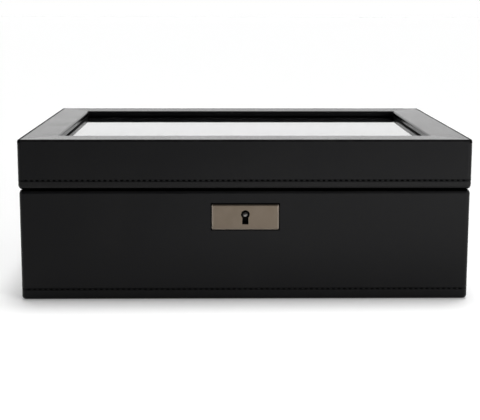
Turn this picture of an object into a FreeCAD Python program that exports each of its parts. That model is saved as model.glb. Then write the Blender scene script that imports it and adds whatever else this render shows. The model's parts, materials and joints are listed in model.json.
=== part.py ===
import FreeCAD, Part
import os

from FreeCAD import Vector

# Watch box: leather on board, hinged glazed lid, keyed box lock, ten cushions in a halved divider grid.
# Millimetres. Origin on the table under the middle of the box, +X right, +Y back, +Z up.

# Overall sizes
lid_width = 324.0
lid_depth = 222.0
base_height = 81.0
lid_height = 36.0
lid_overhang = 0.5

# Boards, leather and linings
leather_thickness = 1.2
board_thickness = 9.0
floor_board_thickness = 6.0
lining_board_thickness = 3.0
floor_lining_thickness = 1.5
lid_lining_thickness = 0.8
lip_height = 4.0
lip_clearance = 0.7
lip_edge_radius = 1.0
board_parting_radius = 1.9
board_corner_ease = 0.3
board_edge_radius = 0.4
board_foot_radius = 1.2

# Felt under the base
felt_inset = 12.0
felt_corner_radius = 3.0
felt_gap = 0.1
foot_reveal = 0.3

# Lid window and glass
window_rail_front = 23.5
window_rail_back = 28.5
window_rail_side = 27.0
glass_recess = 5.0
glass_thickness = 3.0
glass_edge_gap = 0.5
bead_thickness = 2.2
rebate_width = 8.0
leather_tuck = 6.0

# Tray
cushion_columns = 5
cushion_rows = 2
divider_thickness = 4.0
divider_height = 45.0
divider_edge_radius = 1.2
lap_clearance = 0.1
cushion_height = 48.0
cushion_end_gap = 5.6
cushion_side_gap = 0.65
cushion_seat_gap = 0.3
cushion_seam_draw = 3.0
cushion_foot_lift = 1.8

# Shares of a cushion's half length and height that set the roundness of its section
cushion_flat_share = 0.52
cushion_shoulder_share = 0.62
cushion_shoulder_rise = 0.93
cushion_belly_rise = 0.45

# Hinges
hinge_end_distance = 67.0
leaf_length = 38.0
leaf_gap = 0.2
leaf_setback = 1.0
leaf_side_clearance = 0.1
knuckle_count = 5
knuckle_radius = 2.2
knuckle_gap = 0.15
barrel_clearance = 0.15
knuckle_relief = 0.3
hinge_pin_radius = 1.2
hinge_pin_clearance = 0.04
hinge_pin_cap_rim = 0.7
hinge_pin_cap_length = 0.8
leaf_screw_count = 3
leaf_screw_pitch = 12.5

# Lock
lock_plate_width = 48.0
lock_plate_height = 18.4
lock_plate_thickness = 1.2
lock_plate_bevel = 0.8
lock_plate_corner_radius = 1.0
lock_plate_drop = 10.6
lock_stud_radius = 1.0
lock_stud_clearance = 0.03
lock_stud_spacing = 38.0
keyhole_radius = 3.1
keyhole_drop = 7.3
keyhole_skirt_drop = 7.2
keyhole_neck_width = 4.2
keyhole_foot_width = 4.5
keyhole_clearance = 0.4
drill_pin_radius = 2.2
drill_pin_nose_share = 0.95
drill_pin_recess = 0.3
drill_pin_clearance = 0.03
lock_side_room = 5.0
lock_foot_room = 5.4
lock_front_web = 2.2
lock_stud_web = 0.3
lock_metal = 1.2
lock_pocket_clearance = 0.1
lock_cover_margin = 6.0
lock_screw_rise = 20.0

# Bolt and strike
bolt_travel = 4.0
bolt_clearance = 0.3
bolt_bar_height = 4.5
bolt_upright_width = 4.2
bolt_end_margin = 3.0
bolt_finger_height = 3.2
bolt_talon_radius = 2.2
guide_post_radius = 1.0
guide_post_clearance = 0.05
guide_post_spacing = 28.0
guide_post_offset = 2.0
tongue_spacing = 24.0
tongue_width = 6.0
tongue_play = 0.9
tongue_nose_height = 2.5
tongue_notch_depth = 4.0
strike_width = 6.0
strike_setback = 0.2
strike_screw_spacing = 44.0
strike_end_margin = 4.0

# Wood screws
screw_head_radius = 1.8
screw_head_height = 0.9
screw_shank_radius = 0.9
screw_length = 8.0
screw_tip_length = 1.6
screw_clearance = 0.04
lock_screw_length = 4.6

# Half sizes of the outer faces and of what lies under the leather
lid_half = Vector(lid_width / 2, lid_depth / 2, 0)
base_half = lid_half - Vector(lid_overhang, lid_overhang, 0)
lid_core_half = lid_half - Vector(leather_thickness, leather_thickness, 0)
base_core_half = base_half - Vector(leather_thickness, leather_thickness, 0)
lip_half = base_core_half - Vector(board_thickness, board_thickness, 0)
tray_half = lip_half - Vector(lining_board_thickness, lining_board_thickness, 0)
lid_hollow_half = lip_half + Vector(lip_clearance, lip_clearance, 0)
lid_wall_half = lid_hollow_half + Vector(lid_lining_thickness, lid_lining_thickness, 0)

# Levels from the table up
parting_height = base_height
total_height = base_height + lid_height
board_foot = foot_reveal + leather_thickness
floor_top = board_foot + floor_board_thickness
tray_floor = floor_top + floor_lining_thickness
base_board_top = parting_height - leather_thickness
lip_top = parting_height + lip_height
lid_board_foot = parting_height + leather_thickness
lid_board_top = total_height - leather_thickness
glass_top = total_height - glass_recess
glass_foot = glass_top - glass_thickness
lid_frame_foot = glass_foot - bead_thickness
rebate_top = glass_top + leather_thickness

board_corner_radius = board_parting_radius + board_corner_ease
leather_corner_radius = board_corner_radius + leather_thickness
leather_parting_radius = board_parting_radius + leather_thickness
leather_edge_radius = board_edge_radius + leather_thickness
leather_foot_radius = board_foot_radius + leather_thickness

# Tray cells
cell_width = (2 * tray_half.x - (cushion_columns - 1) * divider_thickness) / cushion_columns
cell_depth = (2 * tray_half.y - (cushion_rows - 1) * divider_thickness) / cushion_rows
cell_pitch_x = cell_width + divider_thickness
cell_pitch_y = cell_depth + divider_thickness

# Hinge places
leaf_thickness = leather_thickness - leaf_gap / 2
hinge_axis_y = lid_half.y + knuckle_radius + barrel_clearance
leaf_inner_y = lid_wall_half.y + leaf_setback
leaf_screw_y = (leaf_inner_y + base_core_half.y - board_parting_radius) / 2
hinge_places = (hinge_end_distance - lid_half.x, lid_half.x - hinge_end_distance)
hinge_pin_cap_radius = hinge_pin_radius + hinge_pin_cap_rim
knuckle_pitch = leaf_length / knuckle_count

# Lock places
lock_plate_top = parting_height - lock_plate_drop
keyhole_z = lock_plate_top - keyhole_drop
keyhole_foot = keyhole_z - keyhole_skirt_drop
case_front_y = -base_core_half.y + lock_front_web
lock_stud_length = lock_front_web - lock_stud_web
cover_back_y = -lip_half.y
case_back_y = cover_back_y - lock_metal
case_top = parting_height - leaf_gap / 2
case_foot = keyhole_foot - lock_foot_room
bolt_room_front = case_front_y + lock_metal
bolt_front_y = bolt_room_front + bolt_clearance
bolt_back_y = case_back_y - bolt_clearance
tongue_front_y = bolt_room_front + tongue_play
tongue_back_y = case_back_y - tongue_play
bolt_bar_foot = keyhole_z + drill_pin_radius + bolt_clearance
bolt_bar_top = bolt_bar_foot + bolt_bar_height
tongue_foot = bolt_bar_top + bolt_clearance
notch_foot = tongue_foot + tongue_nose_height
bolt_finger_foot = notch_foot + bolt_clearance
bolt_finger_top = bolt_finger_foot + bolt_finger_height
notch_top = bolt_finger_top + bolt_clearance
strike_foot = parting_height + leaf_gap / 2
strike_back_y = -lid_wall_half.y - strike_setback
strike_y = strike_back_y - strike_width / 2
guide_post_z = (bolt_bar_foot + bolt_bar_top) / 2
tongue_places = (-tongue_spacing / 2, tongue_spacing / 2)
guide_post_places = (guide_post_offset - guide_post_spacing / 2, guide_post_offset + guide_post_spacing / 2)
finger_reach = bolt_travel + bolt_clearance
finger_tips = [x - tongue_width / 2 - bolt_clearance for x in tongue_places]
bolt_left = finger_tips[0] - finger_reach - bolt_upright_width
bolt_right = guide_post_places[1] + bolt_end_margin
lock_case_half = max(-bolt_left, bolt_right + bolt_travel) + lock_side_room + lock_metal
strike_half = strike_screw_spacing / 2 + strike_end_margin

# Cutting tools run this far past the faces they cut
overshoot = 10.0


def block(x0, x1, y0, y1, z0, z1):
    return Part.makeBox(x1 - x0, y1 - y0, z1 - z0, Vector(x0, y0, z0))


def centred_block(half, z0, z1):
    return block(-half.x, half.x, -half.y, half.y, z0, z1)


def level_edges(shape, z):
    return [e for e in shape.Edges if all(abs(v.Z - z) < 1e-6 for v in e.Vertexes)]


def upright_edges(shape):
    return [e for e in shape.Edges if abs(e.tangentAt(e.FirstParameter).z) > 0.999]


def rounded_block(half, z0, z1, corner_radius, foot_radius, top_radius):
    body = centred_block(half, z0, z1)
    body = body.makeFillet(corner_radius, upright_edges(body))
    body = body.makeFillet(foot_radius, level_edges(body, z0))
    return body.makeFillet(top_radius, level_edges(body, z1))


def upright_prism(points, z0, z1):
    corners = [Vector(x, y, z0) for x, y in points]
    face = Part.Face(Part.makePolygon(corners + corners[:1]))
    return face.extrude(Vector(0, 0, z1 - z0))


def front_prism(points, y0, y1):
    corners = [Vector(x, y0, z) for x, z in points]
    face = Part.Face(Part.makePolygon(corners + corners[:1]))
    return face.extrude(Vector(0, y1 - y0, 0))


def front_cylinder(radius, x, z, y0, y1):
    return Part.makeCylinder(radius, y1 - y0, Vector(x, y0, z), Vector(0, 1, 0))


def rectangle(half_x, y0, y1):
    return [(-half_x, y0), (half_x, y0), (half_x, y1), (-half_x, y1)]


# A ring is sawn into front, right, back and left members on lines from its outer to its inner corners.
def mitred(ring, outer, inner, z0, z1):
    members = {}
    for i, side in enumerate(("front", "right", "back", "left")):
        j = (i + 1) % 4
        wedge = upright_prism([outer[i], outer[j], inner[j], inner[i]], z0, z1)
        members[side] = ring.common(wedge)
    return members


# Countersunk wood screw: head face at `place`, shank pointing along `direction`.
def wood_screw(place, direction, length, clearance=0.0):
    shank = screw_shank_radius + clearance
    head = screw_head_radius + clearance
    tip = length - screw_tip_length
    points = [(0, 0), (head, 0), (shank, screw_head_height), (shank, tip), (0, length + clearance), (0, 0)]
    face = Part.Face(Part.makePolygon([Vector(r, 0, h) for r, h in points]))
    screw = face.revolve(Vector(0, 0, 0), Vector(0, 0, 1), 360)
    turn = FreeCAD.Rotation(Vector(0, 0, 1), direction)
    screw.Placement = FreeCAD.Placement(place, turn)
    return screw


def leaf_screws(z, direction, clearance=0.0):
    screws = []
    for hinge_x in hinge_places:
        for i in range(leaf_screw_count):
            x = hinge_x + (i - (leaf_screw_count - 1) / 2) * leaf_screw_pitch
            screws.append(wood_screw(Vector(x, leaf_screw_y, z), direction, screw_length, clearance))
    return screws


def base_leaf_screws(clearance=0.0):
    return leaf_screws(base_board_top + leaf_thickness, Vector(0, 0, -1), clearance)


def lid_leaf_screws(clearance=0.0):
    return leaf_screws(lid_board_foot - leaf_thickness, Vector(0, 0, 1), clearance)


def strike_screws(clearance=0.0):
    places = [Vector(s * strike_screw_spacing / 2, strike_y, strike_foot) for s in (-1, 1)]
    return [wood_screw(p, Vector(0, 0, 1), screw_length, clearance) for p in places]


def lock_screws(clearance=0.0):
    screws = []
    for x in (-1, 1):
        for z in (case_foot, case_foot + lock_screw_rise):
            place = Vector(x * (lock_case_half + lock_cover_margin / 2), cover_back_y, z)
            screws.append(wood_screw(place, Vector(0, -1, 0), lock_screw_length, clearance))
    return screws


# Keyhole: a round eye with a flared skirt below it.
def keyhole(clearance, y0, y1):
    eye = front_cylinder(keyhole_radius + clearance, 0, keyhole_z, y0, y1)
    neck = keyhole_neck_width / 2 + clearance
    foot = keyhole_foot_width / 2 + clearance
    low = keyhole_foot - clearance
    skirt = front_prism([(-neck, keyhole_z), (-foot, low), (foot, low), (neck, keyhole_z)], y0, y1)
    return eye.fuse(skirt)


def lock_studs(clearance, y0, y1):
    z = lock_plate_top - lock_plate_height / 2
    places = (-lock_stud_spacing / 2, lock_stud_spacing / 2)
    return [front_cylinder(lock_stud_radius + clearance, x, z, y0, y1) for x in places]


def lock_pocket():
    c = lock_pocket_clearance
    half = lock_case_half + c
    room = block(-half, half, case_front_y - c, cover_back_y, case_foot - c, total_height)
    return room.fuse(cover_room(c))


def cover_room(clearance):
    half = lock_case_half + lock_cover_margin + clearance
    foot = case_foot - lock_cover_margin - clearance
    return block(-half, half, case_back_y, cover_back_y, foot, base_board_top)


def leaf_cutouts(z0, z1):
    c = leaf_side_clearance
    half = leaf_length / 2 + c
    return [block(x - half, x + half, leaf_inner_y - c, hinge_axis_y, z0, z1) for x in hinge_places]


# Base carcass: walls and floor inside the leather.
def base_core():
    return rounded_block(base_core_half, board_foot, base_board_top, board_corner_radius, board_foot_radius,
                         board_parting_radius)


def base_boards():
    walls = base_core().cut(centred_block(lip_half, 0, total_height))
    outer = rectangle(base_half.x, -base_half.y, base_half.y)
    inner = rectangle(lip_half.x, -lip_half.y, lip_half.y)
    members = mitred(walls, outer, inner, 0, total_height)
    studs = lock_studs(lock_stud_clearance, -base_half.y, -base_core_half.y + lock_stud_length)
    key_way = keyhole(keyhole_clearance, -base_half.y, case_front_y)
    members["front"] = members["front"].cut([lock_pocket(), key_way] + studs + lock_screws(screw_clearance))
    members["back"] = members["back"].cut(base_leaf_screws(screw_clearance))
    return members


def base_leather():
    skin = rounded_block(base_half, foot_reveal, parting_height, leather_corner_radius, leather_foot_radius,
                         leather_parting_radius)
    skin = skin.cut(base_core())
    skin = skin.cut(centred_block(lip_half, base_board_top - overshoot, parting_height + overshoot))
    felt_half = base_half - Vector(felt_inset, felt_inset, 0)
    skin = skin.cut(centred_block(felt_half, 0, board_foot))
    front = -base_half.y
    openings = leaf_cutouts(base_board_top, parting_height + overshoot)
    openings.append(keyhole(keyhole_clearance, front - overshoot, front + leather_thickness))
    openings += lock_studs(lock_stud_clearance, front - overshoot, front + leather_thickness)
    openings.append(lock_pocket())
    return skin.cut(openings)


def base_felt():
    half = base_half - Vector(felt_inset + felt_gap, felt_inset + felt_gap, 0)
    sheet = centred_block(half, 0, board_foot)
    return sheet.makeFillet(felt_corner_radius, upright_edges(sheet))


# Lining boards stand on the floor and rise above the base as the lip that centres the lid.
def lining_boards():
    ring = centred_block(lip_half, floor_top, lip_top)
    ring = ring.cut(centred_block(tray_half, 0, total_height))
    ring = ring.makeFillet(lip_edge_radius, level_edges(ring, lip_top))
    outer = rectangle(lip_half.x, -lip_half.y, lip_half.y)
    inner = rectangle(tray_half.x, -tray_half.y, tray_half.y)
    return mitred(ring, outer, inner, 0, total_height)


def divider_board(half):
    board = centred_block(half, tray_floor, tray_floor + divider_height)
    long_way = Vector(1, 0, 0) if half.x > half.y else Vector(0, 1, 0)
    top = level_edges(board, tray_floor + divider_height)
    along = [e for e in top if abs(e.tangentAt(e.FirstParameter).dot(long_way)) > 0.999]
    return board.makeFillet(divider_edge_radius, along)


def cross_divider_places():
    middle = (cushion_columns - 2) / 2
    return [(i - middle) * cell_pitch_x for i in range(cushion_columns - 1)]


# The long divider is slotted from above and each cross divider from below, to half the height.
def long_divider():
    board = divider_board(Vector(tray_half.x, divider_thickness / 2, 0))
    half = divider_thickness / 2 + lap_clearance
    slot_foot = tray_floor + divider_height / 2
    slots = [block(x - half, x + half, -half, half, slot_foot, total_height) for x in cross_divider_places()]
    return board.cut(slots)


def cross_divider(x):
    board = divider_board(Vector(divider_thickness / 2, tray_half.y, 0))
    half = divider_thickness / 2 + lap_clearance
    board = board.cut(block(-half, half, -half, half, 0, tray_floor + divider_height / 2))
    board.translate(Vector(x, 0, 0))
    return board


# Cushion section across the strap: flat foot, full round ends and a crowned top.
def cushion_section(x, half_length, foot, height):
    flat = half_length * cushion_flat_share
    shoulder = half_length * cushion_shoulder_share
    belly = foot + height * cushion_belly_rise
    low_left, low_right = Vector(x, -flat, foot), Vector(x, flat, foot)
    high_right = Vector(x, shoulder, foot + height * cushion_shoulder_rise)
    high_left = Vector(x, -shoulder, foot + height * cushion_shoulder_rise)
    edges = [Part.LineSegment(low_left, low_right).toShape(),
             Part.Arc(low_right, Vector(x, half_length, belly), high_right).toShape(),
             Part.Arc(high_right, Vector(x, 0, foot + height), high_left).toShape(),
             Part.Arc(high_left, Vector(x, -half_length, belly), low_left).toShape()]
    return Part.Wire(edges)


# The cover is drawn in towards the seams at both ends, so the cushion is fullest across its middle.
def cushion():
    half_width = cell_width / 2 - cushion_side_gap
    half_length = cell_depth / 2 - cushion_end_gap
    foot = tray_floor + cushion_seat_gap
    sections = []
    for share in (-1.0, -0.86, -0.5, 0.0, 0.5, 0.86, 1.0):
        pull = 1 - (1 - share ** 2) ** 0.5
        draw = pull * cushion_seam_draw
        lift = pull * cushion_foot_lift
        sections.append(cushion_section(share * half_width, half_length - draw, foot + lift,
                                        cushion_height - draw - lift))
    return Part.makeLoft(sections, True, False)


def cushions():
    pads = {}
    pad = cushion()
    for row, name in enumerate(("front", "back")):
        for column in range(cushion_columns):
            place = Vector((column - (cushion_columns - 1) / 2) * cell_pitch_x, (row - 0.5) * cell_pitch_y, 0)
            pads["cushion_%s_%d" % (name, column + 1)] = pad.translated(place)
    return pads


# Lid carcass with its window; leather follows the same form one thickness further out.
def window_points(shrink):
    half_x = lid_half.x - window_rail_side - shrink
    return rectangle(half_x, -lid_half.y + window_rail_front + shrink, lid_half.y - window_rail_back - shrink)


def framed_block(half, z0, z1, corner_radius, parting_radius, edge_radius, window):
    body = rounded_block(half, z0, z1, corner_radius, parting_radius, edge_radius)
    body = body.cut(upright_prism(window, 0, total_height + overshoot))
    inside = [e for e in level_edges(body, z1) if inside_window(e, window)]
    return body.makeFillet(edge_radius, inside)


def inside_window(edge, window):
    (x0, y0), (x1, y1) = window[0], window[2]
    return all(x0 - 0.01 < v.X < x1 + 0.01 and y0 - 0.01 < v.Y < y1 + 0.01 for v in edge.Vertexes)


def lid_core():
    return framed_block(lid_core_half, lid_board_foot, lid_board_top, board_corner_radius, board_parting_radius,
                        board_edge_radius, window_points(-leather_thickness))


def lid_walls():
    slab = centred_block(lid_half, lid_board_foot, lid_frame_foot)
    walls = lid_core().common(slab).cut(centred_block(lid_wall_half, 0, total_height))
    outer = rectangle(lid_half.x, -lid_half.y, lid_half.y)
    inner = rectangle(lid_wall_half.x, -lid_wall_half.y, lid_wall_half.y)
    members = mitred(walls, outer, inner, 0, total_height)
    members["front"] = members["front"].cut(strike_screws(screw_clearance))
    members["back"] = members["back"].cut(lid_leaf_screws(screw_clearance))
    return members


def lid_frame():
    slab = centred_block(lid_half, lid_frame_foot, total_height)
    rebate = upright_prism(window_points(-leather_thickness - rebate_width), 0, rebate_top)
    frame = lid_core().common(slab).cut(rebate)
    outer = rectangle(lid_half.x, -lid_half.y, lid_half.y)
    return mitred(frame, outer, window_points(0), 0, total_height)


def lid_leather():
    skin = framed_block(lid_half, parting_height, total_height, leather_corner_radius, leather_parting_radius,
                        leather_edge_radius, window_points(0))
    skin = skin.cut(lid_core())
    skin = skin.cut(centred_block(lid_wall_half, 0, glass_top))
    tuck = upright_prism(window_points(-leather_tuck), glass_top, rebate_top)
    skin = skin.fuse(tuck.cut(upright_prism(window_points(0), 0, total_height))).removeSplitter()
    openings = leaf_cutouts(parting_height - overshoot, lid_board_foot)
    openings.append(strike_room(leaf_side_clearance, parting_height - overshoot))
    return skin.cut(openings)


def glass_pane():
    spread = leather_thickness + rebate_width - glass_edge_gap
    return upright_prism(window_points(-spread), glass_foot, glass_top)


def glass_beads():
    outer = window_points(-leather_thickness - rebate_width)
    inner = window_points(-leather_thickness)
    ring = upright_prism(outer, lid_frame_foot, glass_foot).cut(upright_prism(inner, 0, total_height))
    return mitred(ring, outer, inner, 0, total_height)


# Suede over the inside of the lid walls and the underside of the frame and beads.
def lid_lining():
    foot = parting_height + leaf_gap
    shell = centred_block(lid_wall_half, foot, lid_frame_foot)
    shell = shell.cut(centred_block(lid_hollow_half, 0, lid_frame_foot - lid_lining_thickness))
    return shell.cut(upright_prism(window_points(-leather_thickness), 0, total_height))


# Hinges. Each leaf is a plate let into the leather, with its own share of the knuckles.
def hinge_leaf(hinge_x, z0, z1, first):
    left = hinge_x - leaf_length / 2
    plate_back = hinge_axis_y - knuckle_radius - knuckle_relief
    leaf = block(left, left + leaf_length, leaf_inner_y, plate_back, z0, z1)
    for i in range(first, knuckle_count, 2):
        x0 = left + i * knuckle_pitch + knuckle_gap / 2
        x1 = x0 + knuckle_pitch - knuckle_gap
        barrel = Part.makeCylinder(knuckle_radius, x1 - x0, Vector(x0, hinge_axis_y, parting_height),
                                   Vector(1, 0, 0))
        leaf = leaf.fuse([block(x0, x1, plate_back, hinge_axis_y, z0, z1), barrel])
    bore = Part.makeCylinder(hinge_pin_radius + hinge_pin_clearance, 2 * leaf_length,
                             Vector(hinge_x - leaf_length, hinge_axis_y, parting_height), Vector(1, 0, 0))
    return leaf.cut(bore).removeSplitter()


def hinge_base_leaf(hinge_x):
    leaf = hinge_leaf(hinge_x, base_board_top, base_board_top + leaf_thickness, 0)
    return leaf.cut(base_leaf_screws(screw_clearance))


def hinge_lid_leaf(hinge_x):
    leaf = hinge_leaf(hinge_x, lid_board_foot - leaf_thickness, lid_board_foot, 1)
    return leaf.cut(lid_leaf_screws(screw_clearance))


# The pin is riveted over into a low cap at each end of the barrel.
def hinge_pin(hinge_x):
    half = leaf_length / 2
    cap = half + hinge_pin_cap_length
    rim = half + hinge_pin_cap_length / 3
    wide = hinge_pin_cap_radius
    slim = hinge_pin_radius
    points = [(0, -cap), (wide, -rim), (wide, -half), (slim, -half), (slim, half), (wide, half), (wide, rim),
              (0, cap), (0, -cap)]
    face = Part.Face(Part.makePolygon([Vector(x, r, 0) for r, x in points]))
    pin = face.revolve(Vector(0, 0, 0), Vector(1, 0, 0), 360)
    return pin.translated(Vector(hinge_x, hinge_axis_y, parting_height))


# Lock plate on the front of the base, bevelled round its face, with two studs pressed into the board.
def lock_plate():
    front = -base_half.y - lock_plate_thickness
    half = lock_plate_width / 2
    foot = lock_plate_top - lock_plate_height
    plate = block(-half, half, front, -base_half.y, foot, lock_plate_top)
    corners = [e for e in plate.Edges if abs(e.tangentAt(e.FirstParameter).y) > 0.999]
    plate = plate.makeFillet(lock_plate_corner_radius, corners)
    rim = [e for e in plate.Edges if all(abs(v.Y - front) < 1e-6 for v in e.Vertexes)]
    plate = plate.makeChamfer(lock_plate_bevel, rim)
    studs = lock_studs(0.0, -base_half.y, -base_core_half.y + lock_stud_length)
    return plate.cut(keyhole(0.0, front - overshoot, -base_half.y)).fuse(studs)


# Lock case: a tray let into the front board, with slots in its top plate and two posts that guide the bolt.
def lock_case():
    half = lock_case_half
    case = block(-half, half, case_front_y, case_back_y, case_foot, case_top)
    room_half = half - lock_metal
    room = block(-room_half, room_half, bolt_room_front, case_back_y, case_foot + lock_metal,
                 case_top - lock_metal)
    slots = [tongue_slot(x) for x in tongue_places]
    case = case.cut([room, keyhole(0.0, case_front_y, bolt_room_front)] + slots)
    posts = [front_cylinder(guide_post_radius, x, guide_post_z, bolt_room_front, case_back_y)
             for x in guide_post_places]
    return case.fuse(posts)


def tongue_slot(x):
    half = tongue_width / 2 + bolt_clearance
    return block(x - half, x + half, bolt_room_front, case_back_y, case_top - lock_metal, case_top)


def lock_cover():
    cover = cover_room(0.0)
    pin_hole = front_cylinder(drill_pin_radius + drill_pin_clearance, 0, keyhole_z, case_back_y, cover_back_y)
    return cover.cut([pin_hole] + lock_screws(screw_clearance))


# Drill pin for the hollow key: domed at its front end and riveted into the cover.
def lock_drill_pin():
    front = -base_half.y - lock_plate_thickness + drill_pin_recess
    pin = front_cylinder(drill_pin_radius, 0, keyhole_z, front, cover_back_y)
    end = [e for e in pin.Edges if all(abs(v.Y - front) < 1e-6 for v in e.Vertexes)]
    return pin.makeFillet(drill_pin_radius * drill_pin_nose_share, end)


# Bolt: a bar on two guide posts, with one raised finger for each tongue and a talon for the key.
def lock_bolt():
    bolt = block(bolt_left, bolt_right, bolt_front_y, bolt_back_y, bolt_bar_foot, bolt_bar_top)
    for tip in finger_tips:
        root = tip - finger_reach
        heel = root - bolt_upright_width
        outline = [(heel, bolt_bar_top), (root, bolt_bar_top), (root, bolt_finger_foot),
                   (tip, bolt_finger_foot), (tip, bolt_finger_top), (heel, bolt_finger_top)]
        bolt = bolt.fuse(front_prism(outline, bolt_front_y, bolt_back_y))
    talon_x = -bolt_travel / 2
    cuts = [front_cylinder(bolt_talon_radius, talon_x, bolt_bar_foot, bolt_front_y, bolt_back_y)]
    cuts += [guide_slot(x) for x in guide_post_places]
    return bolt.removeSplitter().cut(cuts)


def guide_slot(x):
    radius = guide_post_radius + guide_post_clearance
    left = x - bolt_travel
    ends = [front_cylinder(radius, end, guide_post_z, bolt_front_y, bolt_back_y) for end in (left, x)]
    middle = block(left, x, bolt_front_y, bolt_back_y, guide_post_z - radius, guide_post_z + radius)
    return middle.fuse(ends)


# Strike under the front of the lid: a plate with two notched tongues that drop through the case slots.
def strike_room(clearance, z0):
    half_x = strike_half + clearance
    half_y = strike_width / 2 + clearance
    return block(-half_x, half_x, strike_y - half_y, strike_y + half_y, z0, lid_board_foot)


def lock_strike():
    strike = strike_room(0.0, strike_foot)
    for x in tongue_places:
        left = x - tongue_width / 2
        right = x + tongue_width / 2
        stem = left + tongue_notch_depth
        chamfer = tongue_nose_height / 2
        outline = [(left, strike_foot), (left, notch_top), (stem, notch_top), (stem, notch_foot),
                   (left, notch_foot), (left, tongue_foot + chamfer), (left + chamfer, tongue_foot),
                   (right, tongue_foot), (right, strike_foot)]
        strike = strike.fuse(front_prism(outline, tongue_front_y, tongue_back_y))
    return strike.removeSplitter().cut(strike_screws(screw_clearance))


def all_parts():
    parts = {}
    for side, board in base_boards().items():
        parts["base_%s_board" % side] = board
    parts["base_floor_board"] = centred_block(lip_half, board_foot, floor_top)
    parts["base_leather"] = base_leather()
    parts["base_felt"] = base_felt()
    for side, board in lining_boards().items():
        parts["%s_lining_board" % side] = board
    parts["floor_lining"] = centred_block(tray_half, floor_top, tray_floor)
    parts["long_divider"] = long_divider()
    for i, x in enumerate(cross_divider_places()):
        parts["cross_divider_%d" % (i + 1)] = cross_divider(x)
    parts.update(cushions())

    for side, wall in lid_walls().items():
        parts["lid_%s_wall" % side] = wall
    for side, member in lid_frame().items():
        parts["lid_frame_%s" % side] = member
    parts["lid_leather"] = lid_leather()
    parts["lid_lining"] = lid_lining()
    parts["glass_pane"] = glass_pane()
    for side, bead in glass_beads().items():
        parts["glass_bead_%s" % side] = bead

    for side, x in zip(("left", "right"), hinge_places):
        parts["%s_hinge_base_leaf" % side] = hinge_base_leaf(x)
        parts["%s_hinge_lid_leaf" % side] = hinge_lid_leaf(x)
        parts["%s_hinge_pin" % side] = hinge_pin(x)
    parts["hinge_base_screws"] = Part.makeCompound(base_leaf_screws())
    parts["hinge_lid_screws"] = Part.makeCompound(lid_leaf_screws())

    parts["lock_plate"] = lock_plate()
    parts["lock_case"] = lock_case()
    parts["lock_cover"] = lock_cover()
    parts["lock_drill_pin"] = lock_drill_pin()
    parts["lock_bolt"] = lock_bolt()
    parts["lock_screws"] = Part.makeCompound(lock_screws())
    parts["lock_strike"] = lock_strike()
    parts["strike_screws"] = Part.makeCompound(strike_screws())
    return parts


os.makedirs("parts", exist_ok=True)
for node, shape in all_parts().items():
    print(node, len(shape.Solids), "solids, valid", shape.isValid(), "volume %.1f" % shape.Volume)
    shape.exportStep(os.path.join("parts", node + ".step"))
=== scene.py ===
import json
import math
import random

import bmesh
import bpy
from mathutils import Matrix, Vector
from mathutils import noise as ripple


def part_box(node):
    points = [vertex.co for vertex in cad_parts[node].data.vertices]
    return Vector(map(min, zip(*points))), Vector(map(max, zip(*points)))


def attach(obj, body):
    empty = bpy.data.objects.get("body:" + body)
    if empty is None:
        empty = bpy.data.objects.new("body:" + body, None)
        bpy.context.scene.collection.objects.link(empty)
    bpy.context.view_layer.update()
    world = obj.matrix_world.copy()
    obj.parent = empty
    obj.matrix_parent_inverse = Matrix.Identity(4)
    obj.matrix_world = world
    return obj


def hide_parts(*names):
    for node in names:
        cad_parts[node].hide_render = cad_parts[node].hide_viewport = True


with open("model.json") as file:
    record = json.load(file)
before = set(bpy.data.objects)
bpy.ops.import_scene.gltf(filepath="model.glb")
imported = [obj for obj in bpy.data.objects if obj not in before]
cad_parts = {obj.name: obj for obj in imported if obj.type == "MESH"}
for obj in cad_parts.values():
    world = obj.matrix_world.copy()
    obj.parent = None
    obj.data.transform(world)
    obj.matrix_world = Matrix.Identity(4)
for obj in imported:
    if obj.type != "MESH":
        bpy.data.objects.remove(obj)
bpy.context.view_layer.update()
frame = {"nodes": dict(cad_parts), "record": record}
nodes = frame["nodes"]
scene = bpy.context.scene
mm = 0.001


class Wire:                                   # an output socket that takes part in sums
    def __init__(self, tree, socket):
        self.tree = tree
        self.socket = socket

    def maths(self, operation, first, second=0.0):
        return self.tree.add("ShaderNodeMath", {"operation": operation}, {0: first, 1: second})

    def __add__(self, other):
        return self.maths("ADD", self, other)

    def __radd__(self, other):
        return self.maths("ADD", other, self)

    def __sub__(self, other):
        return self.maths("SUBTRACT", self, other)

    def __rsub__(self, other):
        return self.maths("SUBTRACT", other, self)

    def __mul__(self, other):
        return self.maths("MULTIPLY", self, other)

    def __rmul__(self, other):
        return self.maths("MULTIPLY", other, self)

    def __abs__(self):
        return self.maths("ABSOLUTE", self)

    def least(self, other):
        return self.maths("MINIMUM", self, other)

    def most(self, other):
        return self.maths("MAXIMUM", self, other)

    def cosine(self):
        return self.maths("COSINE", self)

    def ramp(self, start, end):               # eases from 0 at start to 1 at end
        easing = {"interpolation_type": "SMOOTHSTEP"}
        sockets = {"Value": self, "From Min": start, "From Max": end}
        return self.tree.add("ShaderNodeMapRange", easing, sockets)

    def other(self, name):                    # another output of the same node
        return Wire(self.tree, self.socket.node.outputs[name])


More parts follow.
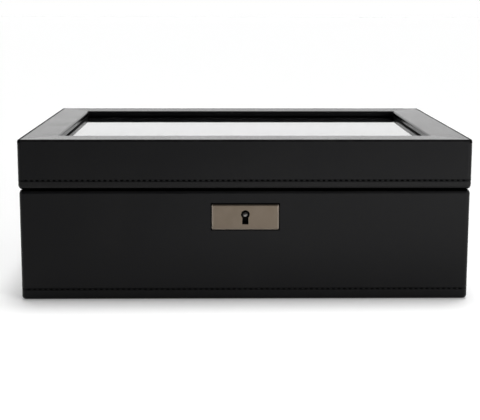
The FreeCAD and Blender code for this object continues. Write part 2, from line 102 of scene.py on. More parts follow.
class NodeTree:                               # the nodes of one finish, or of the world
    def __init__(self, owner):
        owner.use_nodes = True
        self.tree = owner.node_tree
        self.tree.nodes.clear()

    def add(self, kind, settings=None, sockets=None, output=0):
        node = self.tree.nodes.new(kind)
        for key, value in (settings or {}).items():
            setattr(node, key, value)
        for key, value in (sockets or {}).items():
            if isinstance(value, Wire):
                self.tree.links.new(value.socket, node.inputs[key])
            else:
                node.inputs[key].default_value = value
        return Wire(self, node.outputs[output]) if len(node.outputs) else None

    def place(self):
        return self.add("ShaderNodeTexCoord", output="Object")

    def axes(self, vector):
        x = self.add("ShaderNodeSeparateXYZ", None, {0: vector})
        return x, x.other("Y"), x.other("Z")

    def stretched(self, place, scale):
        return self.add("ShaderNodeMapping", None, {"Vector": place, "Scale": scale})

    def noise(self, place, scale, detail=2.0, distortion=0.0):
        return self.add("ShaderNodeTexNoise", None,
                        {"Vector": place, "Scale": scale, "Detail": detail, "Distortion": distortion})

    def mix(self, share, first, second):
        return self.add("ShaderNodeMix", {"data_type": "RGBA"}, {0: share, 6: first, 7: second}, 2)

    def bump(self, heightInMm):
        return self.add("ShaderNodeBump", None, {"Height": heightInMm, "Distance": mm})

    def surface(self, sockets):
        shader = self.add("ShaderNodeBsdfPrincipled", None, sockets)
        self.add("ShaderNodeOutputMaterial", None, {"Surface": shader})


def newFinish(name):
    material = bpy.data.materials.new(name)
    return material, NodeTree(material)


def newPiece(name, mesh, finishes, body):
    piece = bpy.data.objects.new(name, mesh)
    scene.collection.objects.link(piece)
    for finish in finishes:
        mesh.materials.append(finish)
    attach(piece, body)
    return piece


def meshFrom(shape, name, smooth=False):      # the bmesh is used up
    if smooth:
        for face in shape.faces:
            face.smooth = True
    mesh = bpy.data.meshes.new(name)
    shape.to_mesh(mesh)
    shape.free()
    return mesh


def moved(mesh, matrix):
    copy = mesh.copy()
    copy.transform(matrix)
    return copy


def middleAndHalf(node):
    low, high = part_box(node)
    return (low + high) / 2, (high - low) / 2


# Camera, from the photograph: almost square on and a little from above
lens = {
    "place": (-15.82 * mm, -862.38 * mm, 215.56 * mm),
    "yaw": -0.910,
    "tilt": 81.333,
    "roll": 0.111,
    "focal": 80.24,
    "sensor": 36,
    "shiftY": -0.10,
    "reach": 50,
}
cameraData = bpy.data.cameras.new("photoCamera")
cameraData.lens = lens["focal"]
cameraData.sensor_width = lens["sensor"]
cameraData.sensor_fit = "HORIZONTAL"
cameraData.shift_y = lens["shiftY"]
cameraData.clip_end = lens["reach"]
camera = bpy.data.objects.new("photoCamera", cameraData)
scene.collection.objects.link(camera)
aim = Matrix.Translation(lens["place"])
for angle, axis in (("yaw", "Z"), ("tilt", "X"), ("roll", "Z")):
    aim = aim @ Matrix.Rotation(math.radians(lens[angle]), 4, axis)
camera.matrix_world = aim
scene.camera = camera
scene.view_settings.view_transform = "Standard"

# Studio: a white sweep under a broad overhead light, bright behind and beside the box
# The front mirrors a room that is dark on the left and lit on the right, and a floor patch glowing only in
# reflections
studio = {
    "white": (1, 1, 1, 1),
    "floorColour": (0.93, 0.93, 0.93, 1),
    "floorHalf": 12,
    "floorGlow": 0.105,
    "patchGlow": 0.65,
    "patchAcross": (-0.17, 0.02),
    "patchNear": (-0.19, -0.30),
    "patchFar": (-1.3, -0.4),
    "ambient": 0.22,
    "backdrop": 1.30,
    "overhead": 0.25,
    "frontLeft": 0.02,
    "frontRight": 1.60,
    "frontTurn": (-0.2, 0.6),
    "overheadRise": (0.35, 0.8),
    "sweepBehind": (0.1, 0.6),
    "sweepBeside": (0.7, 0.95),
    "skyStrength": 2.35,
    "skyAngle": 24,
    "skyFrom": (0.04, 0.16, 1.0),
    "skyAim": (0, 0, 0),
    "lampPlace": (0.60, -0.75, 0.30),
    "lampAim": (0.30, -0.60, 0.0),
    "lampSize": 0.30,
    "lampPower": 5.0,
}


def addLight(name, kind, place, target, **settings):
    data = bpy.data.lights.new(name, kind)
    for key, value in settings.items():
        setattr(data, key, value)
    light = bpy.data.objects.new(name, data)
    scene.collection.objects.link(light)
    turn = (Vector(target) - Vector(place)).to_track_quat("-Z", "Y").to_matrix().to_4x4()
    light.matrix_world = Matrix.Translation(place) @ turn
    light.visible_camera = False
    return light


def sweepFinish(name):
    material, tree = newFinish(name)
    path = tree.add("ShaderNodeLightPath", output="Is Camera Ray")
    mirrored = path.other("Is Glossy Ray")
    seen = path.most(mirrored).most(path.other("Is Transmission Ray"))
    x, y = tree.axes(tree.place())[:2]
    patch = x.ramp(*studio["patchAcross"]) * y.ramp(*studio["patchNear"]) * y.ramp(*studio["patchFar"])
    # painted reflection: the patch glows only for mirrored rays
    strength = seen * studio["floorGlow"] + mirrored * patch * studio["patchGlow"]
    paint = tree.add("ShaderNodeBsdfDiffuse", None, {"Color": studio["floorColour"]})
    glow = tree.add("ShaderNodeEmission", None, {"Color": studio["white"], "Strength": strength})
    both = tree.add("ShaderNodeAddShader", None, {0: paint, 1: glow})
    tree.add("ShaderNodeOutputMaterial", None, {"Surface": both})
    return material


def layFloor():
    sheet = bmesh.new()
    bmesh.ops.create_grid(sheet, x_segments=1, y_segments=1, size=studio["floorHalf"])
    mesh = meshFrom(sheet, "studioFloor")
    floor = bpy.data.objects.new("studioFloor", mesh)
    scene.collection.objects.link(floor)
    mesh.materials.append(sweepFinish("whiteSweep"))


def paintWorld():
    world = bpy.data.worlds.new("whiteStudio")
    scene.world = world
    tree = NodeTree(world)
    path = tree.add("ShaderNodeLightPath", output="Is Camera Ray")
    seen = path.most(path.other("Is Transmission Ray"))
    mirrored = path.other("Is Glossy Ray")
    x, y, z = tree.axes(tree.add("ShaderNodeTexCoord", output="Generated"))
    toRight = x.ramp(*studio["frontTurn"])
    front = studio["frontLeft"] + (studio["frontRight"] - studio["frontLeft"]) * toRight
    high = z.ramp(*studio["overheadRise"])
    room = front * (1 - high) + studio["overhead"] * high
    sweep = y.ramp(*studio["sweepBehind"]).most(abs(x).ramp(*studio["sweepBeside"])) * (1 - high)
    reflected = room * (1 - sweep) + studio["backdrop"] * sweep
    lit = (1 - mirrored) * studio["ambient"] + mirrored * reflected
    strength = lit * (1 - seen) + seen
    sky = tree.add("ShaderNodeBackground", None, {"Color": studio["white"], "Strength": strength})
    tree.add("ShaderNodeOutputWorld", None, {"Surface": sky})


def hangLights():
    overhead = addLight("overheadLight", "SUN", studio["skyFrom"], studio["skyAim"],
                        energy=studio["skyStrength"], angle=math.radians(studio["skyAngle"]))
    overhead.visible_glossy = False           # the room above stands for it in reflections
    overhead.visible_transmission = False
    side = addLight("sideLamp", "AREA", studio["lampPlace"], studio["lampAim"],
                    size=studio["lampSize"], energy=studio["lampPower"])
    side.visible_glossy = False


layFloor()
paintWorld()
hangLights()
print("studio and camera set")

# Black leather: fine pebbled grain, cloudy shine, rubbed edges, a pressed channel with painted shade under
# the stitches
# Painted shade where lid and base meet, round the lock plate, low in the window and along the ends of the
# lid top
leather = {
    "black": (0.0030, 0.0030, 0.0034, 1),
    # the lighter tone of rubbed edges, also used for the painted sheen below the lid's stitches
    "rubbed": (0.0085, 0.0083, 0.0082, 1),
    # painted shade colour, for the lines that give back no light
    "paintedShadeBlack": (0.0010, 0.0010, 0.0010, 1),
    "shine": 0.105,
    "roughness": 0.20,
    "pebble": 1.0 * mm,
    "pebbleWall": 0.16,
    "pebbleDepth": 0.016,
    "grooveMatt": 0.05,
    "poreScale": 2400,
    "poreDepth": 0.004,
    "lumpScale": 90,
    "lumpDepth": 0.03,
    "cloudScale": 16,
    "cloudTwist": 0.6,
    "cloudEdges": (0.45, 0.8),
    "cloudWear": 0.25,
    "cloudMatt": 0.10,
    "rubScale": 160,
    "rubEdges": (0.35, 0.72),
    "rubWidth": (2.4 * mm, 0.3 * mm),
    "rubPolish": 0.05,
    "channel": (1.1 * mm, 0.2 * mm),
    "channelDepth": 0.20,
    "channelShade": 0.35,
    "puckerDepth": 0.07,
    "sideTurn": (-1.0 * mm, 1.0 * mm),
    # painted sheen below the stitches, on the lid only
    "stripSheen": (0.5 * mm, 2.0 * mm),
    "lidSheenShare": 0.6,
    "baseSheenShare": 0.0,
    "partingShade": (1.45 * mm, 1.0875 * mm),
    "plateLine": (1.0 * mm, 0.5 * mm),
    "plateReach": (4.0 * mm, 3.0 * mm),
    "windowLine": (1.4 * mm, 0.84 * mm),
    "windowZone": (12 * mm, 18 * mm),
    "endLine": (3.0 * mm, 1.8 * mm),
    "crown": 0.05,
    "stitchPitch": 4.0 * mm,
    "lidStitchRise": 6.7 * mm,
    "baseStitchRise": 7.7 * mm,
}


def leatherFinish(name, node, stitchRise, sheenShare, shadows):
    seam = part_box(node)[0].z + stitchRise
    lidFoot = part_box("lid_leather")[0].z
    middle, half = middleAndHalf(node)
    material, tree = newFinish(name)
    place = tree.place()
    x, y, z = tree.axes(place)
    inX = half.x - abs(x - middle.x)          # depth below the outer faces
    inY = half.y - abs(y - middle.y)
    inZ = half.z - abs(z - middle.z)
    edge = inX.most(inY).least(inX.most(inZ)).least(inY.most(inZ))
    spots = tree.noise(place, leather["rubScale"], 3).ramp(*leather["rubEdges"])
    rubbed = edge.ramp(*leather["rubWidth"]) * spots
    pebbles = tree.add("ShaderNodeTexVoronoi", {"feature": "DISTANCE_TO_EDGE"},
                       {"Vector": place, "Scale": 1 / leather["pebble"]}).ramp(0.0, leather["pebbleWall"])
    pores = tree.noise(place, leather["poreScale"], 3)
    clouds = tree.noise(place, leather["cloudScale"], 4, leather["cloudTwist"])
    lumps = tree.noise(place, leather["lumpScale"])
    channel = abs(z - seam).ramp(*leather["channel"])
    partingShade = abs(z - lidFoot).ramp(*leather["partingShade"])
    waves = 2 * math.pi / leather["stitchPitch"]
    onFront = (inX - inY).ramp(*leather["sideTurn"])
    puckers = onFront * (x * waves).cosine() + (1 - onFront) * (y * waves).cosine()
    grain = pebbles * leather["pebbleDepth"] + pores * leather["poreDepth"] + lumps * leather["lumpDepth"]
    slope = inX.least(inY) * (leather["crown"] / mm)   # the rails sink a little towards the window
    height = grain - slope - channel * (leather["channelDepth"] + leather["puckerDepth"] * puckers)
    stripSheen = (seam - z).ramp(*leather["stripSheen"]) * sheenShare   # painted sheen on the strip below the stitches
    # real wear and cloudy tone, together with the painted sheen of the strip
    wearAndSheen = rubbed.most(clouds.ramp(*leather["cloudEdges"]) * leather["cloudWear"]).most(stripSheen)
    toneWithSheen = tree.mix(wearAndSheen, leather["black"], leather["rubbed"])
    matt = leather["roughness"] + (clouds - 0.5) * leather["cloudMatt"]
    matt = matt + (1 - pebbles) * leather["grooveMatt"] - rubbed * leather["rubPolish"]
    paintedShade = partingShade.most(channel * leather["channelShade"]).most(shadows(x, y, z))   # painted shade: black, metallic and fully rough, so it gives back no light
    tree.surface({
        "Base Color": tree.mix(paintedShade, toneWithSheen, leather["paintedShadeBlack"]),
        "Metallic": paintedShade,
        "Roughness": matt * (1 - paintedShade) + paintedShade,
        "Specular IOR Level": leather["shine"],
        "Normal": tree.bump(height),
    })
    return material


def plateShadow(x, y, z):                     # a dark line on the leather round the lock plate
    middle, half = middleAndHalf("lock_plate")
    beyond = (abs(x - middle.x) - half.x).most(abs(z - middle.z) - half.z)
    onFront = (y - middle.y).ramp(*leather["plateReach"])
    return beyond.ramp(*leather["plateLine"]) * onFront


def lidShadow(x, y, z):                       # low on the window's walls, and both ends of the top
    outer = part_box("lid_leather")[1]
    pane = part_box("glass_pane")[1].z
    fromEnd = outer.x - abs(x)
    window = fromEnd.least(outer.y - abs(y)).ramp(*leather["windowZone"])
    wall = (z - pane).ramp(*leather["windowLine"])
    ends = fromEnd.most(outer.z - z).ramp(*leather["endLine"])
    return (window * wall).most(ends)


# Suede and felt: brushed nap in two directions, soft sheen, no gloss
suede = {
    "lining": (0.022, 0.022, 0.024, 1),
    "liningNap": (0.044, 0.043, 0.045, 1),
    "liningDepth": 0.05,
    "cushion": (0.034, 0.034, 0.037, 1),
    "cushionNap": (0.066, 0.065, 0.068, 1),
    "cushionDepth": 0.06,
    "fibre": 0.35 * mm,
    "felt": (0.010, 0.010, 0.010, 1),
    "feltNap": (0.028, 0.028, 0.029, 1),
    "feltDepth": 0.12,
    "feltFibre": 0.8 * mm,
    "strokeStretch": (60, 190, 130),
    "strokeTwist": 1.2,
    "strokeShare": 0.45,
    "strokeDepth": 0.5,
    "patchScale": 26,
    "patchTwist": 0.8,
    "patchShare": 0.35,
    "fibreShare": 0.20,
    "fibreMatt": 0.12,
    "napEdges": (0.36, 0.66),
    "roughness": 0.86,
    "shine": 0.18,
    "sheen": 0.22,
    "sheenRoughness": 0.42,
    "sheenTint": (0.55, 0.55, 0.58, 1),
}


def suedeFinish(name, dark, nap, fibre, depth):
    material, tree = newFinish(name)
    place = tree.place()
    strokes = tree.noise(tree.stretched(place, suede["strokeStretch"]), 1, 3, suede["strokeTwist"])
    patches = tree.noise(place, suede["patchScale"], 3, suede["patchTwist"])
    fibres = tree.noise(place, 1 / fibre, 4)
    lie = strokes * suede["strokeShare"] + patches * suede["patchShare"] + fibres * suede["fibreShare"]
    tree.surface({
        "Base Color": tree.mix(lie.ramp(*suede["napEdges"]), dark, nap),
        "Roughness": suede["roughness"] + suede["fibreMatt"] * fibres,
        "Specular IOR Level": suede["shine"],
        "Sheen Weight": suede["sheen"],
        "Sheen Roughness": suede["sheenRoughness"],
        "Sheen Tint": suede["sheenTint"],
        "Normal": tree.bump((fibres + strokes * suede["strokeDepth"]) * depth),
    })
    return material


# Wood: bare fibre board with painted shade round the keyhole, and the black stained strips of the lid frame
wood = {
    "fibre": (0.30, 0.20, 0.12, 1),
    "pale": (0.47, 0.35, 0.23, 1),
    "keyholeShade": (0.004, 0.004, 0.004, 1),
    "keyholeShadeWidth": (30 * mm, 27 * mm),
    "keyholeShadeDepth": (20 * mm, 15 * mm),
    "flakeScale": 900,
    "flakeShare": 0.7,
    "flakeMatt": 0.15,
    "flakeDepth": 0.06,
    "bandStretch": (40, 40, 700),
    "bandShare": 0.3,
    "fibreEdges": (0.35, 0.65),
    "boardRoughness": 0.78,
    "stain": (0.010, 0.009, 0.009, 1),
    "stainPale": (0.020, 0.018, 0.016, 1),
    "stainRoughness": 0.52,
    "stainShine": 0.25,
    "grainStretch": (260, 260, 900),
    "grainTwist": 0.8,
    "grainEdges": (0.4, 0.7),
    "grainMatt": 0.22,
    "grainDepth": 0.03,
}


def fibreBoardFinish(name):
    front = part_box("lock_plate")[0].y
    material, tree = newFinish(name)
    place = tree.place()
    x, y = tree.axes(place)[:2]
    # painted shade: black near the keyhole, where the hole is in shade
    keyholeShade = abs(x).ramp(*wood["keyholeShadeWidth"]) * (y - front).ramp(*wood["keyholeShadeDepth"])
    flakes = tree.noise(place, wood["flakeScale"], 4)
    bands = tree.noise(tree.stretched(place, wood["bandStretch"]), 1, 2)
    mottle = (flakes * wood["flakeShare"] + bands * wood["bandShare"]).ramp(*wood["fibreEdges"])
    tree.surface({
        "Base Color": tree.mix(keyholeShade, tree.mix(mottle, wood["fibre"], wood["pale"]), wood["keyholeShade"]),
        "Roughness": wood["boardRoughness"] + wood["flakeMatt"] * flakes,
        "Normal": tree.bump(flakes * wood["flakeDepth"]),
    })
    return material


def stainedWoodFinish(name):
    material, tree = newFinish(name)
    place = tree.place()
    grain = tree.noise(tree.stretched(place, wood["grainStretch"]), 1, 4, wood["grainTwist"])
    tree.surface({
        "Base Color": tree.mix(grain.ramp(*wood["grainEdges"]), wood["stain"], wood["stainPale"]),
        "Roughness": wood["stainRoughness"] + wood["grainMatt"] * grain,
        "Specular IOR Level": wood["stainShine"],
        "Normal": tree.bump(grain * wood["grainDepth"]),
    })
    return material


# Metals: gunmetal plate brushed along the box, satin nickel for the hinges, blackened steel inside the lock
metal = {
    "gunmetal": (0.125, 0.101, 0.077, 1),
    "gunmetalPale": (0.156, 0.127, 0.099, 1),
    "gunmetalRimHighlight": (0.36, 0.31, 0.26, 1),
    "plateRoughness": 0.30,
    "plateStretch": (45, 900, 5200),
    "hairShare": 0.4,
    "hairMatt": 0.16,
    "hairDepth": 0.004,
    "tarnishScale": 90,
    "tarnishTwist": 0.7,
    "tarnishEdges": (0.3, 0.75),
    "tarnishShare": 0.6,
    "tarnishMatt": 0.10,
    "rim": (1.2 * mm, 0.4 * mm),
    "rimHighlightShare": 0.8,
    "rimPolish": 0.10,
    "footMatt": 0.35,
    "brow": (1.6 * mm, 0.6 * mm),
    "browShade": 0.45,
    "eyeHeight": 63.1 * mm,
    "eyeRadius": 3.1 * mm,
    "skirtFoot": 55.9 * mm,
    "skirtHalf": 2.25 * mm,
    "cutEdge": (0.25 * mm, 0.15 * mm),
    "cutDepth": (0.02 * mm, 0.25 * mm),
    "cutMatt": 0.35,
    "nickel": (0.46, 0.44, 0.41, 1),
    "nickelPale": (0.60, 0.58, 0.55, 1),
    "nickelRoughness": 0.22,
    "blackened": (0.012, 0.011, 0.011, 1),
    "blackenedPale": (0.030, 0.029, 0.028, 1),
    "blackenedRoughness": 0.50,
    "steelStretch": (70, 2600, 2600),
    "steelMatt": 0.12,
    "stainScale": 140,
    "stainTwist": 0.5,
    "stainEdges": (0.3, 0.7),
    "pin": (0.045, 0.043, 0.041, 1),
    "pinHighlight": (0.44, 0.42, 0.40, 1),
    "pinRoughness": 0.55,
    "pinStainScale": 900,
    "pinHighlightSpan": (0.6 * mm, -1.7 * mm),
    "pinHighlightLeast": 0.8,
    "pinHighlightStained": 0.4,
}


def within(distance, reach):                  # the keyhole's outline, a little outside the cut
    outer, inner = metal["cutEdge"]
    return distance.ramp(reach + outer, reach + inner)


def gunmetalFinish(name, node):
    low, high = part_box(node)
    middle, half = middleAndHalf(node)
    material, tree = newFinish(name)
    place = tree.place()
    x, y, z = tree.axes(place)
    rim = (half.x - abs(x - middle.x)).least(z - low.z).ramp(*metal["rim"])   # painted highlight on the rim along the sides and bottom, not along the top
    foot = (z - low.z).ramp(*metal["rim"])
    # painted shade along the top of the plate
    brow = (high.z - z).ramp(*metal["brow"])
    hairlines = tree.noise(tree.stretched(place, metal["plateStretch"]), 1, 3)
    tarnish = tree.noise(place, metal["tarnishScale"], 4, metal["tarnishTwist"])
    paleness = tarnish.ramp(*metal["tarnishEdges"]) * metal["tarnishShare"] + hairlines * metal["hairShare"]
    plating = tree.mix(paleness, metal["gunmetal"], metal["gunmetalPale"])
    # painted highlight: the rim goes lighter
    toneWithSheen = tree.mix(rim * metal["rimHighlightShare"], plating, metal["gunmetalRimHighlight"])
    eye = metal["eyeHeight"]
    skirtMiddle = (metal["skirtFoot"] + eye) / 2
    skirtReach = (eye - metal["skirtFoot"]) / 2
    toEye = tree.add("ShaderNodeCombineXYZ", None, {"X": x, "Z": z - eye})
    fromEye = tree.add("ShaderNodeVectorMath", {"operation": "LENGTH"}, {0: toEye}, "Value")
    inEye = within(fromEye, metal["eyeRadius"])
    inSkirt = within(abs(x), metal["skirtHalf"]) * within(abs(z - skirtMiddle), skirtReach)
    cut = inEye.most(inSkirt) * (y - low.y).ramp(*metal["cutDepth"])   # painted shade on the walls of the keyhole
    matt = metal["plateRoughness"] + metal["hairMatt"] * hairlines + metal["tarnishMatt"] * tarnish
    matt = matt - metal["rimPolish"] * rim + metal["footMatt"] * foot + metal["cutMatt"] * cut
    # painted shade: the keyhole walls and the top of the plate go towards black
    tree.surface({
        "Base Color": tree.mix(cut.most(brow * metal["browShade"]), toneWithSheen, metal["blackened"]),
        "Metallic": 1.0,
        "Roughness": matt,
        "Normal": tree.bump(hairlines * metal["hairDepth"]),
    })
    return material


def steelFinish(name, dark, pale, roughness):
    material, tree = newFinish(name)
    place = tree.place()
    hairlines = tree.noise(tree.stretched(place, metal["steelStretch"]), 1, 2)
    stains = tree.noise(place, metal["stainScale"], 4, metal["stainTwist"])
    tree.surface({
        "Base Color": tree.mix(stains.ramp(*metal["stainEdges"]), dark, pale),
        "Metallic": 1.0,
        "Roughness": roughness + metal["steelMatt"] * hairlines + metal["steelMatt"] * stains,
        "Normal": tree.bump(hairlines * metal["hairDepth"]),
    })
    return material


def pinFinish(name):                          # painted highlight: lighter below the middle
    material, tree = newFinish(name)
    place = tree.place()
    z = tree.axes(place)[2]
    stains = tree.noise(place, metal["pinStainScale"], 3, metal["stainTwist"])
    patchy = metal["pinHighlightLeast"] + metal["pinHighlightStained"] * stains
    # painted highlight below the middle, patchy with stains
    rubbed = (z - metal["eyeHeight"]).ramp(*metal["pinHighlightSpan"]) * patchy
    tree.surface({
        "Base Color": tree.mix(rubbed, metal["pin"], metal["pinHighlight"]),
        "Metallic": 1.0,
        "Roughness": metal["pinRoughness"] + metal["steelMatt"] * stains,
    })
    return material


# Window glass: clear, with a trace of wiping marks; light from the lamps passes straight through
glass = {
    "tint": (0.955, 0.970, 0.985, 1),
    "shade": (0.90, 0.92, 0.93, 1),
    "refraction": 1.5,
    "wipeStretch": (9, 30, 30),
    "wipeTwist": 1.5,
    "wipeEdges": (0.5, 0.85),
    "wipeMatt": 0.03,
}


def glassFinish(name):
    material, tree = newFinish(name)
    streaks = tree.noise(tree.stretched(tree.place(), glass["wipeStretch"]), 1, 4, glass["wipeTwist"])
    pane = tree.add("ShaderNodeBsdfPrincipled", None, {
        "Base Color": glass["tint"],
        "Roughness": streaks.ramp(*glass["wipeEdges"]) * glass["wipeMatt"],
        "IOR": glass["refraction"],
        "Transmission Weight": 1.0,
    })
    clear = tree.add("ShaderNodeBsdfTransparent", None, {"Color": glass["shade"]})
    shadow = tree.add("ShaderNodeLightPath", output="Is Shadow Ray")
    both = tree.add("ShaderNodeMixShader", None, {0: shadow, 1: pane, 2: clear})
    tree.add("ShaderNodeOutputMaterial", None, {"Surface": both})
    return material


blackened = steelFinish("blackenedSteel", metal["blackened"], metal["blackenedPale"],
                        metal["blackenedRoughness"])
cushionSuede = suedeFinish("cushionSuede", suede["cushion"], suede["cushionNap"], suede["fibre"],
                           suede["cushionDepth"])
finishes = {
    "suede_lining": suedeFinish("liningSuede", suede["lining"], suede["liningNap"], suede["fibre"],
                                suede["liningDepth"]),
    "cushion_suede": cushionSuede,
    "black_felt": suedeFinish("footFelt", suede["felt"], suede["feltNap"], suede["feltFibre"],
                              suede["feltDepth"]),
    "board": fibreBoardFinish("fibreBoard"),
    "blackened_wood": stainedWoodFinish("stainedWood"),
    "gunmetal": gunmetalFinish("brushedGunmetal", "lock_plate"),
    "plated_steel": steelFinish("satinNickel", metal["nickel"], metal["nickelPale"],
                                metal["nickelRoughness"]),
    "clear_glass": glassFinish("windowGlass"),
}
ownFinishes = {
    "lid_leather": leatherFinish("lidLeather", "lid_leather", leather["lidStitchRise"],
                                 leather["lidSheenShare"], lidShadow),
    "base_leather": leatherFinish("baseLeather", "base_leather", leather["baseStitchRise"],
                                  leather["baseSheenShare"], plateShadow),
    "lock_case": blackened,
    "lock_cover": blackened,
    "lock_bolt": blackened,
    "lock_drill_pin": pinFinish("pinSteel"),
}
for part in frame["record"]["subparts"]:
    mesh = nodes[part["node"]].data
    mesh.materials.clear()
    if part["node"] in ownFinishes:
        mesh.materials.append(ownFinishes[part["node"]])
    else:
        mesh.materials.append(finishes[part["material_slot"]])

# Stitching: black lock stitch in a pressed channel all round lid and base, flat discs of painted shade for
# needle holes between
stitching = {
    "length": 2.5 * mm,
    "width": 0.95 * mm,
    "height": 0.78 * mm,
    "segments": 8,
    "rings": 5,
    "proud": 0.26 * mm,
    "slant": 4.0,
    "slantSpread": 2.5,
    "proudSpread": 0.03,
    "riseSpread": 0.06,
    "holeLength": 2.0 * mm,
    "holeWidth": 1.3 * mm,
    "holeSides": 10,
    "holeLift": 0.03 * mm,
    "corner": 3.4 * mm,
    "lidSeed": 3,
    "baseSeed": 5,
    "thread": (0.0030, 0.0030, 0.0030, 1),
    "threadPale": (0.0090, 0.0090, 0.0090, 1),
    "threadShine": 0.2,
    # painted shade: the colour of the needle hole discs
    "holeShade": (0.0004, 0.0004, 0.0004, 1),
    "holeShine": 0.0,
    "roughness": 0.62,
    "ply": 0.55 * mm,
    "plyShare": 0.6,
    "plyDepth": 0.06,
    "fuzzScale": 5200,
    "fuzzShare": 0.4,
    "fuzzMatt": 0.25,
    "fuzzDepth": 0.03,
}


def threadFinish(name, dark, pale, shine):
    material, tree = newFinish(name)
    place = tree.place()
    x, y, z = tree.axes(place)
    twist = ((x + y + z) * (2 * math.pi / stitching["ply"])).cosine() * 0.5 + 0.5
    fuzz = tree.noise(place, stitching["fuzzScale"], 3)
    tree.surface({
        "Base Color": tree.mix(twist * stitching["plyShare"] + fuzz * stitching["fuzzShare"], dark, pale),
        "Roughness": stitching["roughness"] + stitching["fuzzMatt"] * fuzz,
        "Specular IOR Level": shine,
        "Normal": tree.bump(twist * stitching["plyDepth"] + fuzz * stitching["fuzzDepth"]),
    })
    return material


def seamSides(node, height):                  # each side's seam: its middle, directions and half its length
    middle, half = middleAndHalf(node)
    for quarter in range(4):
        spin = Matrix.Rotation(quarter * math.pi / 2, 3, "Z")
        outward = spin @ Vector((0, -1, 0))
        along = spin @ Vector((1, 0, 0))
        centre = middle + outward * abs(half.dot(outward))
        centre.z = height
        yield centre, along, outward, abs(half.dot(along)) - stitching["corner"]


def stitchMesh():
    shape = bmesh.new()
    size = Matrix.Diagonal((stitching["length"] / 2, stitching["width"] / 2, stitching["height"] / 2, 1))
    bmesh.ops.create_uvsphere(shape, u_segments=stitching["segments"], v_segments=stitching["rings"],
                              radius=1, matrix=size)
    return meshFrom(shape, "stitch", smooth=True)


# a flat disc of painted shade standing for a needle hole
def holeMesh():
    shape = bmesh.new()
    size = Matrix.Diagonal((stitching["holeLength"] / 2, stitching["holeWidth"] / 2, 1, 1))
    bmesh.ops.create_circle(shape, cap_ends=True, segments=stitching["holeSides"], radius=1, matrix=size)
    for face in shape.faces:
        face.material_index = 1
    return meshFrom(shape, "needleHoleShade")


def laid(shape, mesh, matrix):                # adds a copy of a small mesh to a growing one
    copy = moved(mesh, matrix)
    shape.from_mesh(copy)
    bpy.data.meshes.remove(copy)


def stitchRow(name, node, rise, body, seed):
    dice = random.Random(seed)
    stitch = stitchMesh()
    hole = holeMesh()
    shape = bmesh.new()
    pitch = leather["stitchPitch"]

    def jitter(spread):
        return dice.uniform(-stitching[spread], stitching[spread])

    def sew(place, along, outward):
        up = outward.cross(along)
        basis = Matrix((along, up, outward)).transposed().to_4x4()
        slant = Matrix.Rotation(math.radians(stitching["slant"] + jitter("slantSpread")), 4, "Z")
        sink = stitching["proud"] - stitching["height"] / 2 + jitter("proudSpread") * mm
        seat = Matrix.Translation(place + outward * sink + up * jitter("riseSpread") * mm)
        laid(shape, stitch, seat @ basis @ slant)
        return basis

    for centre, along, outward, reach in seamSides(node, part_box(node)[0].z + rise):
        pairs = int(reach / pitch)
        for step in range(-pairs, pairs):
            basis = sew(centre + along * (step + 0.5) * pitch, along, outward)
        for step in range(-pairs, pairs + 1):
            gap = centre + along * step * pitch + outward * stitching["holeLift"]
            laid(shape, hole, Matrix.Translation(gap) @ basis)
        bend = (outward + along).normalized()   # one stitch round the corner
        corner = centre + along * reach + (bend - outward) * stitching["corner"]
        sew(corner, (along - outward).normalized(), bend)
    newPiece(name, meshFrom(shape, name), [thread, needleHoleShade], body)


thread = threadFinish("blackThread", stitching["thread"], stitching["threadPale"], stitching["threadShine"])
needleHoleShade = threadFinish("needleHoleShade", stitching["holeShade"], stitching["thread"], stitching["holeShine"])
stitchRow("lid_stitching", "lid_leather", leather["lidStitchRise"], "lid", stitching["lidSeed"])
stitchRow("base_stitching", "base_leather", leather["baseStitchRise"], "base", stitching["baseSeed"])
print("stitching sewn")

# Cushions: suede sleeve blown up by cloth pressure between two sewn end panels, piped along both seams
cushion = {
    "model": "cushion_front_3",
    "weld": 0.01 * mm,
    "shrink": (0.92, 0.985, 0.965),
    "voxel": 2.4 * mm,
    "quality": 6,
    "mass": 0.05,
    "pressure": 20.0,
    "stiffness": 1.0,
    "bending": 0.1,
    "frames": 20,
    "cap": 2.2 * mm,
    "seamInset": 3.4 * mm,
    "seamHeld": 0.6,
    "seamPull": 0.8 * mm,
    "seamWidth": 2.2 * mm,
    "slackReach": 3,
    "piping": 0.65 * mm,
    "knotStep": 2,
    "rumple": 0.45 * mm,
    "rumpleSize": 21 * mm,
    "fill": 0.85,
    "patterns": 3,
    "patternShift": 7.3,
    "patternStep": 2,
    "perRow": 5,
}


def applied(piece):
    depsgraph = bpy.context.evaluated_depsgraph_get()
    return bpy.data.meshes.new_from_object(piece.evaluated_get(depsgraph))


def cushionBlank(node):
    middle, half = middleAndHalf(node)
    shape = bmesh.new()
    shape.from_mesh(nodes[node].data)
    bmesh.ops.remove_doubles(shape, verts=shape.verts, dist=cushion["weld"])
    bmesh.ops.translate(shape, verts=shape.verts, vec=-middle)
    bmesh.ops.scale(shape, verts=shape.verts, vec=cushion["shrink"])
    blank = bpy.data.objects.new("cushionBlank", meshFrom(shape, "cushionBlank"))
    scene.collection.objects.link(blank)
    remesh = blank.modifiers.new("evenCloth", "REMESH")
    remesh.mode = "VOXEL"
    remesh.voxel_size = cushion["voxel"]
    blank.data = applied(blank)
    blank.modifiers.clear()
    return blank, half


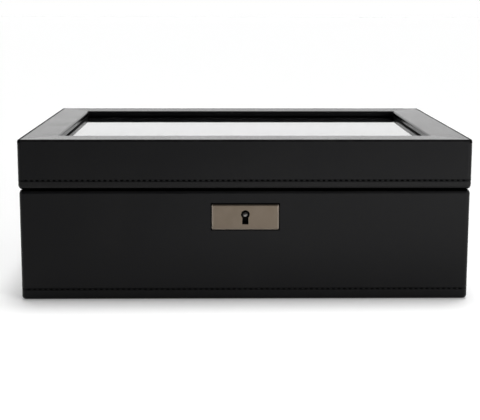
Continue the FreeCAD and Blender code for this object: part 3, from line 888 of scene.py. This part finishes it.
def blowUp(blank, seam):
    start = [v.co.copy() for v in blank.data.vertices]
    band = cushion["seamHeld"] * cushion["voxel"]
    held = blank.vertex_groups.new(name="seam")
    held.add([i for i, p in enumerate(start) if abs(abs(p.x) - seam) < band], 1.0, "REPLACE")
    cloth = blank.modifiers.new("cover", "CLOTH")
    settings = cloth.settings
    settings.quality = cushion["quality"]
    settings.mass = cushion["mass"]
    settings.tension_stiffness = cushion["stiffness"]
    settings.compression_stiffness = cushion["stiffness"]
    settings.shear_stiffness = cushion["stiffness"]
    settings.bending_stiffness = cushion["bending"]
    settings.use_pressure = True
    settings.uniform_pressure_force = cushion["pressure"]
    settings.vertex_group_mass = held.name
    settings.effector_weights.gravity = 0
    for number in range(1, cushion["frames"] + 1):
        scene.frame_set(number)
    swollen = applied(blank)
    blank.modifiers.clear()
    scene.frame_set(1)
    moves = [(v.co - p).length for v, p in zip(swollen.vertices, start)]
    print("  cloth moved up to %.2f mm, mean %.2f mm" % (max(moves) / mm, sum(moves) / len(moves) / mm))
    for vertex, point in zip(swollen.vertices, start):
        move = vertex.co - point
        if move.length > cushion["cap"]:
            vertex.co = point + move.normalized() * cushion["cap"]
    blank.data = swollen


def cushionCover(sleeve, half, seam, pattern):
    shape = bmesh.new()
    shape.from_mesh(sleeve)
    shift = Vector((0, 0, cushion["patternShift"] * pattern))
    for vertex in shape.verts:
        point = vertex.co
        fromSeam = abs(abs(point.x) - seam)
        slack = min(1.0, fromSeam / (cushion["slackReach"] * cushion["seamWidth"]))
        drift = ripple.noise_vector(point / cushion["rumpleSize"] + shift)
        pull = cushion["seamPull"] * math.exp(-(fromSeam / cushion["seamWidth"]) ** 2)
        inward = Vector((0, -point.y, -point.z)).normalized()
        point += drift * cushion["rumple"] * slack + inward * pull
        for axis in range(3):
            point[axis] = max(-half[axis], min(half[axis], point[axis]))
    return meshFrom(shape, "cushionCover", smooth=True)


def seamRing(cover, side):                    # the cover's points in the plane of one seam, in turn
    cut = bmesh.new()
    cut.from_mesh(cover)
    whole = cut.verts[:] + cut.edges[:] + cut.faces[:]
    bmesh.ops.bisect_plane(cut, geom=whole, plane_co=(side, 0, 0), plane_no=(1, 0, 0),
                           clear_inner=True, clear_outer=True)
    ring = sorted((v.co.copy() for v in cut.verts), key=lambda p: math.atan2(p.z, p.y))
    cut.free()
    return ring


def cordAlong(ring, lowest):
    curve = bpy.data.curves.new("piping", "CURVE")
    curve.dimensions = "3D"
    curve.bevel_depth = cushion["piping"]
    curve.bevel_resolution = 1
    spline = curve.splines.new("NURBS")
    spline.points.add(len(ring) // cushion["knotStep"] - 1)
    for knot, point in zip(spline.points, ring[::cushion["knotStep"]]):
        point.z = max(point.z, lowest)
        knot.co = (*point, 1)
    spline.use_cyclic_u = True
    spline.order_u = 3
    spline.resolution_u = 1
    cord = bpy.data.objects.new("piping", curve)
    scene.collection.objects.link(cord)
    bpy.context.view_layer.update()
    tube = applied(cord)
    bpy.data.objects.remove(cord)
    return tube


def seamPiping(cover, half, seam):
    shape = bmesh.new()
    for side in (-seam, seam):
        tube = cordAlong(seamRing(cover, side), cushion["piping"] - half.z)
        shape.from_mesh(tube)
        bpy.data.meshes.remove(tube)
    return meshFrom(shape, "cushionPiping", smooth=True)


def makeCushions():
    blank, half = cushionBlank(cushion["model"])
    seam = half.x * cushion["shrink"][0] - cushion["seamInset"]
    print("cushion blank:", len(blank.data.vertices), "points")
    blowUp(blank, seam)
    smooth = blank.modifiers.new("finerCloth", "SUBSURF")
    smooth.levels = 1
    smooth.render_levels = 1
    sleeve = applied(blank)
    bpy.data.objects.remove(blank)
    covers = [cushionCover(sleeve, half, seam, pattern) for pattern in range(cushion["patterns"])]
    pipings = [seamPiping(cover, half, seam) for cover in covers]
    names = sorted(n for n in nodes if n.startswith("cushion_"))
    for number, node in enumerate(names):
        shift = Matrix.Translation(middleAndHalf(node)[0])
        pattern = (number * cushion["patternStep"] + number // cushion["perRow"]) % cushion["patterns"]
        coverMesh = moved(covers[pattern], shift)
        cover = newPiece(node + "_cover", coverMesh, [cushionSuede], node)
        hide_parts(node)
        pipingMesh = moved(pipings[pattern], shift)
        newPiece(node + "_piping", pipingMesh, [cushionSuede], node)
    print(len(names), "cushions of", len(covers[0].polygons), "faces")


makeCushions()

print("scene done")
